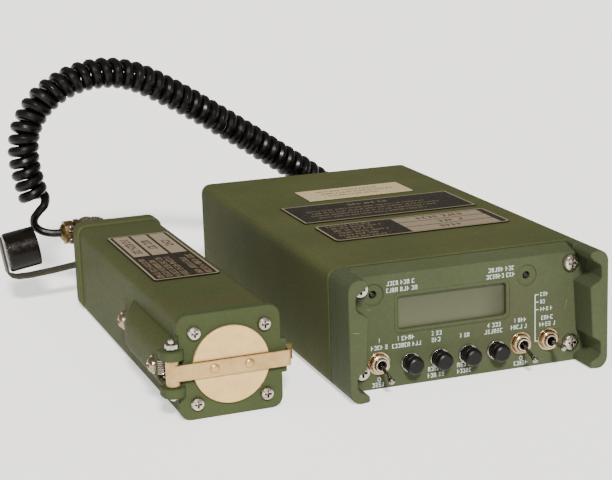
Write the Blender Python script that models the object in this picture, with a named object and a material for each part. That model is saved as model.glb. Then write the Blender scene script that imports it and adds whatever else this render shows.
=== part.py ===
"""A hand-held radiation meter with a separate probe, joined by a curly cord.

The meter's front faces -Y, +X is to its right and +Z is up. The origin is the centre of the
meter case's base. All lengths are in metres. The probe lies to the meter's left on the same surface.
"""

from math import cos, pi, radians, sin

import bmesh
import bpy
from mathutils import Matrix, Vector

# ---------------------------------------------------------------- driving dimensions
GAP = 0.0003  # clearance between pieces that touch

# Meter case
CASE_W = 0.1244
CASE_D = 0.204
CASE_H = 0.055
CASE_R = 0.005
WALL = 0.0025
REAR_COVER_T = 0.0032
GASKET_T = 0.0012

# Meter front panel: the face stands proud of the case, the guard ears stand proud of the face
FACE_Y = -0.1115
EAR_FRONT_Y = -0.1274
FACE_TOP = 0.0516
EAR_T = 0.0090
EAR_THIN_T = 0.0034
PANEL_WALL = 0.003

# Controls along the panel's lower edge, and the two lamps above them
TOGGLE_Z = 0.0117
TOGGLES = {"on_off": -0.0427, "light": 0.0265, "alarm": 0.0404}
LEVER_TILT = radians(18)
TILTS = {"on_off": LEVER_TILT, "light": LEVER_TILT, "alarm": 0.0}
LEVER_LENGTH = 0.0140
LEVER_PIVOT_OUT = 0.0020
BUTTON_Z = 0.0104
BUTTONS = {"test": -0.028, "rate": -0.014, "dose": 0.0, "store": 0.014}
BUTTON_R = 0.0039
BUTTON_OUT = 0.0082
BUTTON_TRAVEL = 0.0012
LAMP_Z = 0.0431
LAMP_XS = {"dose": -0.0448, "rate": 0.0296}
SCREW_X = 0.0514
SCREW_ZS = {"lower": 0.0092, "upper": 0.0468}
WINDOW = (-0.0332, 0.0260, 0.0192, 0.0409)  # display opening: left, bottom, right, top

# Probe
PROBE_AT = (-0.11169, -0.11553, 0.0)  # bottom centre of its front plate
PROBE_YAW = radians(1.3)
PLATE_S = 0.046
PLATE_T = 0.004
PLATE_R = 0.005
PLATE_SCREW = 0.0155
PROBE_BODY_HALF = 0.0218
PROBE_BODY_Z = (0.0004, 0.045)
PROBE_BODY_END = 0.1872
END_CAP_T = 0.010
PROBE_MID_Z = 0.0228
FAIRING_Z = 0.0224
FAIRING_HALF = 0.0116
BAR_OUT = 0.008
BAR_ENDS = (0.060, 0.0765)  # where the side bar starts to round off, and where it is gone
SWELL_OUT = 0.0042
SWELL_ENDS = (0.070, 0.106)

# Window shield and its hinge
HINGE_X = -0.0253
HINGE_EAR_R = 0.0051
EAR_ZS = ((0.0120, 0.0162), (0.0283, 0.0322))
PIN_R = 0.00125
PIN_HOLE_R = 0.00158
BARREL_R = 0.003
BARREL_Z = (0.0165, 0.0280)
STRAP_Z = (0.0189, 0.0258)
STRAP_T = 0.0009
SHIELD_R = 0.017
SHIELD_T = 0.0015
LUG_OUT = 0.00215
LUG_Z = (0.0154, 0.0304)

# Connectors and cord
METER_PLUG_AT = (0.036, CASE_D / 2, 0.029)
METER_PLUG_TURN = radians(37)
PROBE_PLUG_XZ = (-0.0095, 0.0355)
FLANGE_S = 0.020
OUTLET_BACK = 0.024
OUTLET_SIDE = 0.0135
TAIL_D = 0.0044
COIL_D = 0.017
CAP_POST_XZ = (-0.014, 0.021)

# The coiled stretch's centre line, from the meter's plug over the top and down to the probe's rear
COIL_ROUTE = (
    (0.0249, 0.1260, 0.0374),
    (0.0169, 0.1259, 0.0434),
    (0.0040, 0.1240, 0.0532),
    (-0.0339, 0.1200, 0.0798),
    (-0.0714, 0.1168, 0.1044),
    (-0.0980, 0.1145, 0.1178),
    (-0.1222, 0.1126, 0.1188),
    (-0.1433, 0.1110, 0.1094),
    (-0.1548, 0.1102, 0.0945),
    (-0.1575, 0.1100, 0.0776),
    (-0.1548, 0.1101, 0.0606),
    (-0.1532, 0.1102, 0.0545),
)
# The straight tail, from the probe's plug to the side of the coil's last turn
TAIL_ROUTE = (
    (-0.1402, 0.1054, 0.0355),
    (-0.1462, 0.1060, 0.0358),
    (-0.1514, 0.1076, 0.0373),
    (-0.1546, 0.1082, 0.0405),
    (-0.1548, 0.1072, 0.0447),
    (-0.1522, 0.1058, 0.0486),
    (-0.1489, 0.1062, 0.0520),
)

# Orientations: a shape drawn in local XY and grown along +Z is turned to face a side
FACE_FRONT = (pi / 2, 0, 0)
FACE_REAR = (pi / 2, 0, pi)
FACE_LEFT = (pi / 2, 0, -pi / 2)


# ---------------------------------------------------------------- helpers
def material(name, color, roughness, metallic=0.0):
    made = bpy.data.materials.new(name)
    made.use_nodes = True
    shader = made.node_tree.nodes["Principled BSDF"]
    shader.inputs["Base Color"].default_value = (*color, 1)
    shader.inputs["Roughness"].default_value = roughness
    shader.inputs["Metallic"].default_value = metallic
    made.diffuse_color = (*color, 1)
    return made


def finish(name, bm, mat, smooth=True):
    """Turn a closed bmesh into a named object with its own copy of a material."""
    bmesh.ops.recalc_face_normals(bm, faces=bm.faces)
    if bm.calc_volume(signed=True) < 0:
        bmesh.ops.reverse_faces(bm, faces=bm.faces)
    mesh = bpy.data.meshes.new(name)
    bm.to_mesh(mesh)
    bm.free()
    obj = bpy.data.objects.new(name, mesh)
    bpy.context.collection.objects.link(obj)
    if mat:
        mesh.materials.append(mat.copy())
    if smooth:
        mesh.shade_smooth()
        mesh.set_sharp_from_angle(angle=radians(35))
    return obj


def place(obj, at=(0, 0, 0), turn=(0, 0, 0), parent=None):
    obj.location = at
    obj.rotation_euler = turn
    obj.parent = parent
    return obj


def frame(name, at, turn=(0, 0, 0), parent=None):
    empty = bpy.data.objects.new(name, None)
    bpy.context.collection.objects.link(empty)
    return place(empty, at, turn, parent)


def prism_mesh(bm, outline, low, high):
    """Grow a flat outline, given as (x, y) points, from z = low to z = high."""
    verts = [bm.verts.new((x, y, low)) for x, y in outline]
    top = [bm.verts.new((x, y, high)) for x, y in outline]
    bm.faces.new(verts[::-1])
    bm.faces.new(top)
    count = len(outline)
    for i in range(count):
        j = (i + 1) % count
        bm.faces.new((verts[i], verts[j], top[j], top[i]))


def prism(name, outline, low, high, mat=None, bevel=0.0):
    bm = bmesh.new()
    prism_mesh(bm, outline, low, high)
    obj = finish(name, bm, mat)
    if bevel:
        add_bevel(obj, bevel)
    return obj


def add_bevel(obj, width, segments=1):
    mod = obj.modifiers.new("edge", "BEVEL")
    mod.width = width
    mod.segments = segments
    mod.limit_method = "ANGLE"
    mod.angle_limit = radians(50)
    return mod


def turned(name, profile, sides, mat=None):
    """Turn a profile of (radius, height) points about Z.

    A profile that starts and ends on the axis gives a solid, any other is closed into a ring.
    """
    bm = bmesh.new()
    rings = []
    for radius, height in profile:
        if radius == 0:
            rings.append([bm.verts.new((0, 0, height))])
            continue
        angles = [2 * pi * k / sides for k in range(sides)]
        rings.append([bm.verts.new((radius * cos(a), radius * sin(a), height)) for a in angles])
    pairs = list(zip(rings, rings[1:]))
    if profile[0][0] and profile[-1][0]:
        pairs.append((rings[-1], rings[0]))
    for lower, upper in pairs:
        for k in range(sides):
            n = (k + 1) % sides
            corners = [lower[k % len(lower)], lower[n % len(lower)], upper[n % len(upper)], upper[k % len(upper)]]
            bm.faces.new(list(dict.fromkeys(corners)))
    return finish(name, bm, mat)


def arc(cx, cy, radius, start, end, steps):
    """Points on an arc, angles in degrees, both ends included."""
    turns = [radians(start + (end - start) * k / steps) for k in range(steps + 1)]
    return [(cx + radius * cos(a), cy + radius * sin(a)) for a in turns]


def rounded(left, bottom, right, top, radii, steps=4):
    """A rectangle with rounded corners; radii run bottom left, bottom right, top right, top left."""
    bl, br, tr, tl = (radii,) * 4 if isinstance(radii, float) else radii
    points = arc(left + bl, bottom + bl, bl, 180, 270, steps)
    points += arc(right - br, bottom + br, br, 270, 360, steps)
    points += arc(right - tr, top - tr, tr, 0, 90, steps)
    points += arc(left + tl, top - tl, tl, 90, 180, steps)
    return points


def rectangle(left, bottom, right, top):
    return [(left, bottom), (right, bottom), (right, top), (left, top)]


def polygon(radius, sides, turn=0.0):
    return [
        (radius * cos(turn + 2 * pi * k / sides), radius * sin(turn + 2 * pi * k / sides))
        for k in range(sides)
    ]


def loft(name, sections, mat=None):
    """Join equal-length rings of 3-D points into one closed skin."""
    bm = bmesh.new()
    rings = [[bm.verts.new(point) for point in section] for section in sections]
    count = len(rings[0])
    for lower, upper in zip(rings, rings[1:]):
        for i in range(count):
            j = (i + 1) % count
            bm.faces.new((lower[i], lower[j], upper[j], upper[i]))
    bm.faces.new(rings[0][::-1])
    bm.faces.new(rings[-1])
    return finish(name, bm, mat)


def combine(target, tool, operation):
    mod = target.modifiers.new(tool.name, "BOOLEAN")
    mod.operation = operation
    mod.solver = "EXACT"
    mod.object = tool
    tool.hide_render = True
    tool.display_type = "WIRE"


def cut(target, *tools):
    for tool in tools:
        combine(target, tool, "DIFFERENCE")


def add(target, *tools):
    for tool in tools:
        combine(target, tool, "UNION")


def cylinders(name, holes, turn=(0, 0, 0), sides=20):
    """One cutter of separate cylinders; each hole is (x, y, z, radius, low, high) along the turned Z."""
    bm = bmesh.new()
    for x, y, z, radius, low, high in holes:
        matrix = Matrix.Translation((x, y, z)) @ Matrix.Rotation(turn[2], 4, "Z") @ Matrix.Rotation(turn[0], 4, "X")
        before = set(bm.verts)
        prism_mesh(bm, polygon(radius, sides, pi / sides), low, high)
        bmesh.ops.transform(bm, matrix=matrix, verts=[v for v in bm.verts if v not in before])
    return finish(name, bm, None)


def cord_tube(name, route, radius, resolution, spacing, mat, trim=0.0):
    """A round tube along a smooth curve through the route's points."""
    points = smooth_route(route, spacing)
    if trim:
        points[-1] = points[-1] + (points[-2] - points[-1]).normalized() * trim
    curve = bpy.data.curves.new(name, "CURVE")
    curve.dimensions = "3D"
    curve.bevel_depth = radius
    curve.bevel_resolution = resolution
    curve.use_fill_caps = True
    spline = curve.splines.new("POLY")
    spline.points.add(len(points) - 1)
    for slot, point in zip(spline.points, points):
        slot.co = (*point, 1)
    curve.materials.append(mat.copy())
    obj = bpy.data.objects.new(name, curve)
    bpy.context.collection.objects.link(obj)
    return obj


def smooth_route(route, spacing):
    """Points about `spacing` apart on a Catmull-Rom curve through the route."""
    knots = [Vector(p) for p in route]
    knots = [2 * knots[0] - knots[1]] + knots + [2 * knots[-1] - knots[-2]]
    dense = []
    for a, b, c, d in zip(knots, knots[1:], knots[2:], knots[3:]):
        for k in range(20):
            t = k / 20
            dense.append(
                0.5 * (2 * b + (c - a) * t + (2 * a - 5 * b + 4 * c - d) * t**2 + (3 * b - a - 3 * c + d) * t**3)
            )
    dense.append(knots[-2])
    length = sum((q - p).length for p, q in zip(dense, dense[1:]))
    count = max(2, round(length / spacing))
    points = [dense[0]]
    run = 0.0
    for p, q in zip(dense, dense[1:]):
        step = (q - p).length
        while len(points) < count and run + step >= length * len(points) / count:
            t = (length * len(points) / count - run) / step
            points.append(p.lerp(q, t))
        run += step
    points.append(dense[-1])
    return points


# ---------------------------------------------------------------- materials
OLIVE = material("olive_paint", (0.115, 0.125, 0.055), 0.55)
OLIVE_LIGHT = material("olive_paint_light", (0.15, 0.19, 0.08), 0.5)
STEEL = material("plated_steel", (0.75, 0.72, 0.66), 0.25, 1.0)
BRASS = material("gold_plated_steel", (0.62, 0.45, 0.22), 0.3, 1.0)
BRONZE = material("bronze_plating", (0.22, 0.15, 0.06), 0.4, 1.0)
TAN = material("tan_alloy", (0.68, 0.52, 0.34), 0.5, 0.2)
BLACK = material("black_plastic", (0.015, 0.014, 0.012), 0.35)
RUBBER = material("black_rubber", (0.02, 0.02, 0.018), 0.6)
GLASS = material("display_window", (0.22, 0.24, 0.19), 0.15)
LABEL = material("label_plate", (0.03, 0.022, 0.015), 0.45, 0.3)
PALE = material("pale_label", (0.50, 0.45, 0.36), 0.6)
BOARD = material("circuit_board", (0.03, 0.16, 0.06), 0.5)
LAMP = material("lamp_lens", (0.05, 0.02, 0.015), 0.2)


# ---------------------------------------------------------------- meter housing
def meter_housing():
    half = CASE_W / 2
    front = -CASE_D / 2
    rear = CASE_D / 2 - REAR_COVER_T - GAP

    outer = rounded(-half, 0, half, CASE_H, CASE_R)
    case = prism("meter_case", outer, front, rear, OLIVE)
    place(case, turn=(pi / 2, 0, 0))
    case.scale = (1, 1, -1)
    inner = rounded(-half + WALL, WALL, half - WALL, CASE_H - WALL, 0.0026, 2)
    bore = prism("case_bore", inner, front - 0.01, rear + 0.01)
    place(bore, turn=(pi / 2, 0, 0))
    bore.scale = (1, 1, -1)
    cut(case, bore)

    cover = prism("rear_cover", outer, 0, REAR_COVER_T, OLIVE, bevel=0.0006)
    place(cover, (0, rear + GAP, 0), FACE_REAR)

    inset = 0.0006
    frame_outer = rounded(-half + inset, inset, half - inset, CASE_H - inset, 0.0045)
    gasket = prism("panel_gasket", frame_outer, 0, GASKET_T - GAP, RUBBER)
    place(gasket, (0, front - GAP, 0), FACE_FRONT)
    hole = prism("gasket_hole", inner, -0.001, GASKET_T + 0.001)
    place(hole, (0, front - GAP, 0), FACE_FRONT)
    cut(gasket, hole)


def guard_ear_outline():
    """Front view of the right-hand guard ear: thin at the screws, thick between them."""
    outer = CASE_W / 2
    land = outer - EAR_T
    thin = outer - EAR_THIN_T
    low = 0.0024
    points = arc(outer - CASE_R, CASE_R, CASE_R, 270, 360, 4)
    points += arc(outer - CASE_R, CASE_H - CASE_R, CASE_R, 0, 90, 4)
    nose = arc(land + 0.0018, CASE_H - 0.0021, 0.0018, 110, 250, 4)
    upper = scallop(land, thin, CASE_H - 0.0045, 0.0382)
    lower = scallop(land, thin, 0.0149, low + 0.0004)
    foot = arc(land + 0.0012, 0.0013, 0.0011, 130, 230, 3)
    return points + nose + upper + lower + foot


def scallop(land, thin, top, bottom):
    """An S-shaped recess from the thick land to the thin wall and back, downwards."""
    depth = thin - land
    height = top - bottom
    shares = ((0.0, 0.25), (0.10, 0.62), (0.20, 0.92), (0.32, 1.0), (0.66, 1.0), (0.80, 0.80), (0.92, 0.28), (1.0, 0.0))
    return [(land + depth * out, top - height * along) for along, out in shares]


def front_panel():
    half = CASE_W / 2
    back = -CASE_D / 2 - GASKET_T - GAP
    slope = [(back, 0.0), (back, CASE_H - 0.0004), (FACE_Y, FACE_TOP), (FACE_Y, 0.0)]
    # The face block's side view, grown across the panel between the ears
    span = half - CASE_R - 0.0005
    panel = prism("front_panel", slope, -span, span, OLIVE_LIGHT)
    place(panel, turn=(pi / 2, 0, pi / 2))
    for side in (-1, 1):
        outline = [(x * side, z) for x, z in guard_ear_outline()][::side]
        ear = prism(f"ear_{side}", outline, -FACE_Y - 0.0002, -EAR_FRONT_Y, bevel=0.0006)
        place(ear, turn=FACE_FRONT)
        edge = rounded(half - 0.009, 0, half, CASE_H, (0.0005, CASE_R, CASE_R, 0.0005))
        cheek_outline = [(x * side, z) for x, z in edge][::side]
        cheek = prism(f"cheek_{side}", cheek_outline, -back, -FACE_Y)
        place(cheek, turn=FACE_FRONT)
        add(panel, cheek, ear)

    pocket = prism("panel_pocket", rounded(-0.0475, 0.0035, 0.0475, 0.0485, 0.002, 2), -back - 0.001, -FACE_Y - PANEL_WALL)
    place(pocket, turn=FACE_FRONT)
    left, bottom, right, top = WINDOW
    opening = prism("window_opening", rounded(left, bottom, right, top, 0.0012, 2), -0.02, 0.001)
    place(opening, (0, FACE_Y, 0), FACE_FRONT)
    rebate = prism("window_rebate", rectangle(left - 0.0012, bottom - 0.0012, right + 0.0012, top + 0.0012), -0.02, -0.0015)
    place(rebate, (0, FACE_Y, 0), FACE_FRONT)
    holes = [(x, FACE_Y, LAMP_Z, 0.0018, -0.012, 0.001) for x in LAMP_XS.values()]
    holes += [(x, FACE_Y, TOGGLE_Z, 0.0033, -0.012, 0.001) for x in TOGGLES.values()]
    holes += [(x, FACE_Y, BUTTON_Z, 0.0034, -0.012, 0.001) for x in BUTTONS.values()]
    holes += [(x, FACE_Y, z, 0.0023, -0.012, 0.001) for x in (-SCREW_X, SCREW_X) for z in SCREW_ZS.values()]
    cut(panel, pocket, opening, rebate, cylinders("panel_holes", holes, FACE_FRONT, 16))
    rings = [(x, FACE_Y, LAMP_Z, 0.0049, -0.0006, 0.001) for x in LAMP_XS.values()]
    cut(panel, cylinders("lamp_recesses", rings, FACE_FRONT, 28))


def pan_head_screw(name, head_r, head_h, shank_r, length, sides, mat, at, turn, parent=None):
    """A pan head screw with a cross recess, its head standing on z = 0 and its shank going down."""
    profile = [
        (0, -length),
        (shank_r, -length),
        (shank_r, 0),
        (head_r, 0),
        (head_r, head_h * 0.45),
        (head_r * 0.86, head_h * 0.82),
        (head_r * 0.5, head_h),
        (0, head_h),
    ]
    screw = turned(name, profile, sides, mat)
    place(screw, at, turn, parent)
    arm = head_r * 0.52
    width = head_r * 0.13
    cross = [(arm, -width), (arm, width), (width, width), (width, arm), (-width, arm), (-width, width)]
    cross += [(-x, -y) for x, y in cross]
    recess = prism(f"{name}_recess", cross, head_h * 0.4, head_h + 0.001)
    place(recess, at, turn, parent)
    cut(screw, recess)
    return screw


def panel_screws():
    for side, x in (("left", -SCREW_X), ("right", SCREW_X)):
        for level, z in SCREW_ZS.items():
            pan_head_screw(
                f"panel_screw_{side}_{level}", 0.00395, 0.0026, 0.0019, 0.0078, 16, STEEL, (x, FACE_Y - GAP, z), FACE_FRONT
            )


def display():
    left, bottom, right, top = WINDOW
    window = prism("lcd_window", rectangle(left - 0.0009, bottom - 0.0009, right + 0.0009, top + 0.0009), -0.0029, -0.0018, GLASS)
    place(window, (0, FACE_Y, 0), FACE_FRONT)
    module = prism("lcd_module", rectangle(left - 0.003, bottom - 0.0035, right + 0.003, top + 0.0035), -0.0095, -0.0034, BOARD)
    place(module, (0, FACE_Y, 0), FACE_FRONT)
    for lamp, x in LAMP_XS.items():
        profile = [(0, -0.0066), (0.0026, -0.0066), (0.0026, -0.0034), (0.00145, -0.0034), (0.00145, -0.0016), (0.0009, -0.0010), (0, -0.0008)]
        place(turned(f"{lamp}_alarm_lamp", profile, 16, LAMP), (x, FACE_Y, LAMP_Z), FACE_FRONT)


# ---------------------------------------------------------------- controls
def toggle(name, x):
    at = (x, FACE_Y, TOGGLE_Z)
    bushing = [
        (0, -0.0165),
        (0.0045, -0.0165),
        (0.0045, -0.0035),
        (0.00295, -0.0032),
        (0.00295, 0.0034),
        (0.0027, 0.0037),
        (0.0023, 0.0037),
        (0.0020, 0.0012),
        (0.0020, -0.0012),
        (0, -0.0012),
    ]
    place(turned(f"{name}_switch", bushing, 16, STEEL), at, FACE_FRONT)

    nut = prism(f"{name}_nut", polygon(0.0047, 6), GAP, 0.0021, BRASS, bevel=0.0003)
    place(nut, at, FACE_FRONT)
    cut(nut, cylinders(f"{name}_nut_hole", [(*at, 0.00328, -0.001, 0.004)], FACE_FRONT, 16))

    tilt = TILTS[name]
    pivot = frame(f"{name}_pivot", (x, FACE_Y - LEVER_PIVOT_OUT, TOGGLE_Z), (pi / 2 + tilt, 0, 0))
    lever = [
        (0, -0.0022),
        (0.0010, -0.0017),
        (0.0013, 0.0),
        (0.00095, 0.0010),
        (0.00085, LEVER_LENGTH * 0.45),
        (0.00100, LEVER_LENGTH - 0.0036),
        (0.00140, LEVER_LENGTH - 0.0022),
        (0.00145, LEVER_LENGTH - 0.0009),
        (0.0009, LEVER_LENGTH - 0.0001),
        (0, LEVER_LENGTH),
    ]
    place(turned(f"{name}_lever", lever, 12, STEEL), parent=pivot)


def push_button(name, x):
    at = (x, FACE_Y, BUTTON_Z)
    bezel = 0.0046
    floor = 0.0006
    switch = [
        (0, -0.0140),
        (0.0042, -0.0140),
        (0.0042, -0.0034),
        (0.0031, -0.0034),
        (0.0031, GAP),
        (bezel, GAP),
        (bezel, 0.0010),
        (bezel - 0.0002, 0.0013),
        (BUTTON_R + GAP, 0.0013),
        (BUTTON_R + GAP, floor),
        (0.0019, floor),
        (0.0019, -0.0100),
        (0, -0.0100),
    ]
    place(turned(f"{name}_button_switch", switch, 20, STEEL), at, FACE_FRONT)
    foot = floor + BUTTON_TRAVEL + 0.0001
    cap = [
        (0, -0.0080),
        (0.0015, -0.0080),
        (0.0015, foot),
        (BUTTON_R, foot),
        (BUTTON_R, BUTTON_OUT - 0.0010),
        (BUTTON_R - 0.0003, BUTTON_OUT - 0.0004),
        (BUTTON_R - 0.0010, BUTTON_OUT),
        (0, BUTTON_OUT),
    ]
    place(turned(f"{name}_button", cap, 20, BLACK), at, FACE_FRONT)


# ---------------------------------------------------------------- meter insides and top plates
def meter_insides():
    front = -CASE_D / 2
    board = prism("main_board", rectangle(-0.052, front + 0.012, 0.052, 0.045), 0.0300, 0.0316, BOARD)
    place(board)
    packs = prism("battery_pack", rounded(-0.050, -0.075, 0.020, 0.030, 0.004, 3), 0.0032, 0.0285, BLACK)
    place(packs)
    sounder = [(0, 0), (0.011, 0), (0.011, 0.006), (0.004, 0.006), (0.004, 0.0066), (0, 0.0066)]
    place(turned("sounder", sounder, 20, BLACK), (0.036, -0.020, 0.0319))


def top_plates():
    """Three plates stuck on the case's top; their fields are left blank."""
    plates = (
        ("top_label_rear", (-0.0236, 0.0297, 0.0346, 0.0536), 0.0003, PALE),
        ("top_plate_middle", (-0.0432, -0.0189, 0.0489, 0.0194), 0.0003, LABEL),
        ("top_plate_front", (-0.0420, -0.0596, 0.0481, -0.0272), 0.0028, LABEL),
    )
    for name, box, radius, mat in plates:
        plate = prism(name, rounded(*box, radius, 3), CASE_H + GAP, CASE_H + GAP + 0.0004, mat)
        place(plate)


# ---------------------------------------------------------------- connectors
def receptacle(name, at, turn, parent=None):
    """A square flange with a short round shell, standing on the surface it is bolted to."""
    half = FLANGE_S / 2
    base = prism(name, rounded(-half, -half, half, half, 0.002, 3), GAP, 0.0021, BRONZE)
    place(base, at, turn, parent)
    shell = turned(f"{name}_shell", [(0, 0.0015), (0.0082, 0.0015), (0.0082, 0.0058), (0, 0.0058)], 24)
    place(shell, at, turn, parent)
    add(base, shell)


def elbow_plug(name, parent, coupled):
    """A right-angled plug: its nose on the receptacle's axis, its cable outlet to one side.

    `coupled` gives the plug its own coupling collar, for the end whose ring isn't a separate piece.
    """
    collar = [(0.0101, 0.0024), (0.0101, 0.0112), (0.0078, 0.0118)] if coupled else [(0.0078, 0.0062), (0.0078, 0.0118)]
    start = [(0.0085, 0.0024), (0.0085, 0.0062), (0, 0.0062)] if coupled else [(0, 0.0062)]
    body = [
        *reversed(start),
        *collar,
        (0.0066, 0.0126),
        (0.0066, OUTLET_BACK + 0.0050),
        (0.0050, OUTLET_BACK + 0.0066),
        (0, OUTLET_BACK + 0.0066),
    ]
    plug = turned(name, body, 24, BRONZE)
    place(plug, parent=parent)
    arm = [(0, 0), (0.0055, 0), (0.0055, OUTLET_SIDE - 0.0050), (0.0063, OUTLET_SIDE - 0.0046), (0.0063, OUTLET_SIDE), (0, OUTLET_SIDE)]
    outlet = turned(f"{name}_outlet", arm, 16)
    place(outlet, (0, 0, OUTLET_BACK), (0, pi / 2, 0), parent)
    add(plug, outlet)


def meter_connector():
    receptacle("meter_receptacle", METER_PLUG_AT, FACE_REAR)
    # Seen from behind, local +X is the meter's left, so the outlet turns towards the probe
    rear = frame("meter_plug_frame", METER_PLUG_AT, FACE_REAR)
    tilted = frame("meter_plug_turn", (0, 0, 0), (0, 0, METER_PLUG_TURN), rear)
    elbow_plug("meter_cord_plug", tilted, True)


# ---------------------------------------------------------------- probe housing
def probe_section(half, bottom, top, low_r, high_r):
    return rounded(-half, bottom, half, top, (low_r, low_r, high_r, high_r))


def fairing_reach(y, z):
    """How far the left side stands out: a half-round bar on a longer, softer swelling."""
    across = min(1.0, abs(z - FAIRING_Z) / FAIRING_HALF)
    bar_run = max(0.0, (y - BAR_ENDS[0]) / (BAR_ENDS[1] - BAR_ENDS[0]))
    bar = BAR_OUT * max(0.0, 1 - bar_run**2) ** 0.5 * (1 - across**3) ** 0.6
    swell_run = min(1.0, max(0.0, (y - SWELL_ENDS[0]) / (SWELL_ENDS[1] - SWELL_ENDS[0])))
    swell = SWELL_OUT * (0.5 + 0.5 * cos(pi * swell_run)) * (0.5 + 0.5 * cos(pi * across))
    return max(bar, swell) - 0.0002


def fairing_section(y):
    """One cross-section of the side fairing, from inside the case's wall round its outer face."""
    inner = -PROBE_BODY_HALF + 0.001
    steps = 14
    turns = [pi * (k / steps - 0.5) for k in range(steps + 1)]
    heights = [FAIRING_Z + FAIRING_HALF * sin(a) for a in turns]
    outline = [(-PROBE_BODY_HALF - fairing_reach(y, z), z) for z in heights]
    outline = [(inner, heights[0]), *outline, (inner, heights[-1])]
    return [(x, y, z) for x, z in outline]


def probe_housing(probe):
    start = PLATE_T + GAP
    bottom, top = PROBE_BODY_Z
    case = prism("probe_case", probe_section(PROBE_BODY_HALF, bottom, top, 0.0025, 0.0045), -PROBE_BODY_END, -start, OLIVE)
    place(case, turn=FACE_FRONT, parent=probe)
    runs = (start, 0.030, 0.056, 0.062, 0.067, 0.0705, 0.0730, 0.0748, 0.0765, 0.081, 0.088, 0.096, 0.1055)
    fairing = loft("fairing", [fairing_section(y) for y in runs])
    place(fairing, parent=probe)
    bore_half = 0.0193
    chamfer = 0.012
    middle = (bottom + top) / 2
    bore_outline = [
        (sx * x, middle + sz * z)
        for sx, sz, x, z in (
            (-1, -1, bore_half, bore_half - chamfer),
            (-1, -1, bore_half - chamfer, bore_half),
            (1, -1, bore_half - chamfer, bore_half),
            (1, -1, bore_half, bore_half - chamfer),
            (1, 1, bore_half, bore_half - chamfer),
            (1, 1, bore_half - chamfer, bore_half),
            (-1, 1, bore_half - chamfer, bore_half),
            (-1, 1, bore_half, bore_half - chamfer),
        )
    ]
    bore = prism("probe_bore", bore_outline, -0.2, 0.01)
    place(bore, turn=FACE_FRONT, parent=probe)
    notch = prism("spring_notch", rectangle(-0.032, 0.0, -0.0243, 0.0104), 0.0172, 0.0280)
    place(notch, parent=probe)
    holes = [(x, 0, z, 0.0017, -0.012, 0) for x, z in plate_screw_places()]
    screw_holes = cylinders("case_screw_holes", holes, FACE_FRONT, 12)
    place(screw_holes, parent=probe)
    add(case, fairing)
    cut(case, bore, notch, screw_holes)


def plate_screw_places():
    return [(x, PROBE_MID_Z + z) for x in (-PLATE_SCREW, PLATE_SCREW) for z in (-PLATE_SCREW, PLATE_SCREW)]


def probe_front_plate(probe):
    half = PLATE_S / 2
    plate = prism("probe_front_plate", rounded(-half, 0, half, PLATE_S, PLATE_R), -PLATE_T, 0, OLIVE_LIGHT, bevel=0.0004)
    place(plate, turn=FACE_FRONT, parent=probe)
    low, high = LUG_Z
    lug = prism("catch_lug", rounded(half - 0.002, low, half + LUG_OUT, high, 0.0006, 2), -PLATE_T, 0)
    place(lug, turn=FACE_FRONT, parent=probe)
    add(plate, lug)
    ear_back = PLATE_T - 0.0002
    ear_outline = arc(HINGE_X, 0, HINGE_EAR_R, 180, 360, 10)
    ear_outline += [(HINGE_X + HINGE_EAR_R, ear_back), (HINGE_X - HINGE_EAR_R, ear_back)]
    ears = prism("hinge_ears", ear_outline, EAR_ZS[0][0], EAR_ZS[1][1], bevel=0.0005)
    place(ears, parent=probe)
    clear = HINGE_X + HINGE_EAR_R + 0.0005
    room = [(-0.035, -0.01), (clear, -0.01), (clear, 0), (-0.0219, 0), (-0.0219, 0.01), (-0.035, 0.01)]
    barrel_room = prism("barrel_room", room, EAR_ZS[0][1], EAR_ZS[1][0])
    place(barrel_room, parent=probe)
    rooms = [(HINGE_X, 0, 0, 0.0033, EAR_ZS[1][1], 0.038), (HINGE_X, 0, 0, 0.0029, 0.0085, EAR_ZS[0][0])]
    fastener_rooms = cylinders("fastener_rooms", rooms, sides=16)
    place(fastener_rooms, parent=probe)
    add(plate, ears)
    cut(plate, barrel_room, fastener_rooms)
    holes = [(x, 0, z, 0.0017, -0.01, 0.01) for x, z in plate_screw_places()]
    holes.append((0, 0, PROBE_MID_Z, 0.0138, -0.01, 0.01))
    plate_holes = cylinders("plate_holes", holes, FACE_FRONT, 20)
    place(plate_holes, parent=probe)
    pin_hole = cylinders("pin_hole", [(HINGE_X, 0, 0, PIN_HOLE_R, 0.005, 0.04)], sides=16)
    place(pin_hole, parent=probe)
    cut(plate, plate_holes, pin_hole)


def probe_end_cap(probe):
    half = PLATE_S / 2
    near = PROBE_BODY_END + GAP
    far = near + END_CAP_T
    cap = prism("probe_end_cap", rounded(-half, 0, half, PLATE_S, PLATE_R), -far, -near, OLIVE, bevel=0.0005)
    place(cap, turn=FACE_FRONT, parent=probe)
    x, z = CAP_POST_XZ
    post = turned("cap_post", [(0, -0.001), (0.0026, -0.001), (0.0026, 0.0172), (0, 0.0172)], 16)
    place(post, (x, far, z), FACE_REAR, probe)
    add(cap, post)
    pocket = prism("cap_pocket", rounded(-0.018, 0.005, 0.018, 0.041, 0.003, 2), -far + 0.003, 0)
    place(pocket, turn=FACE_FRONT, parent=probe)
    cut(cap, pocket)


def probe_insides(probe):
    start = PLATE_T + GAP
    window = [(0, 0), (0.0155, 0), (0.0155, 0.0006), (0, 0.0006)]
    place(turned("detector_window", window, 24, STEEL), (0, start + 0.0006, PROBE_MID_Z), FACE_FRONT, probe)
    tube = [(0, 0), (0.010, 0), (0.015, 0.003), (0.015, 0.022), (0, 0.022)]
    place(turned("detector_tube", tube, 20, STEEL), (0, start + 0.0232, PROBE_MID_Z), FACE_FRONT, probe)
    place(prism("probe_board", rectangle(-0.017, 0.034, 0.017, 0.160), 0.0210, 0.0226, BOARD), parent=probe)


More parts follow.
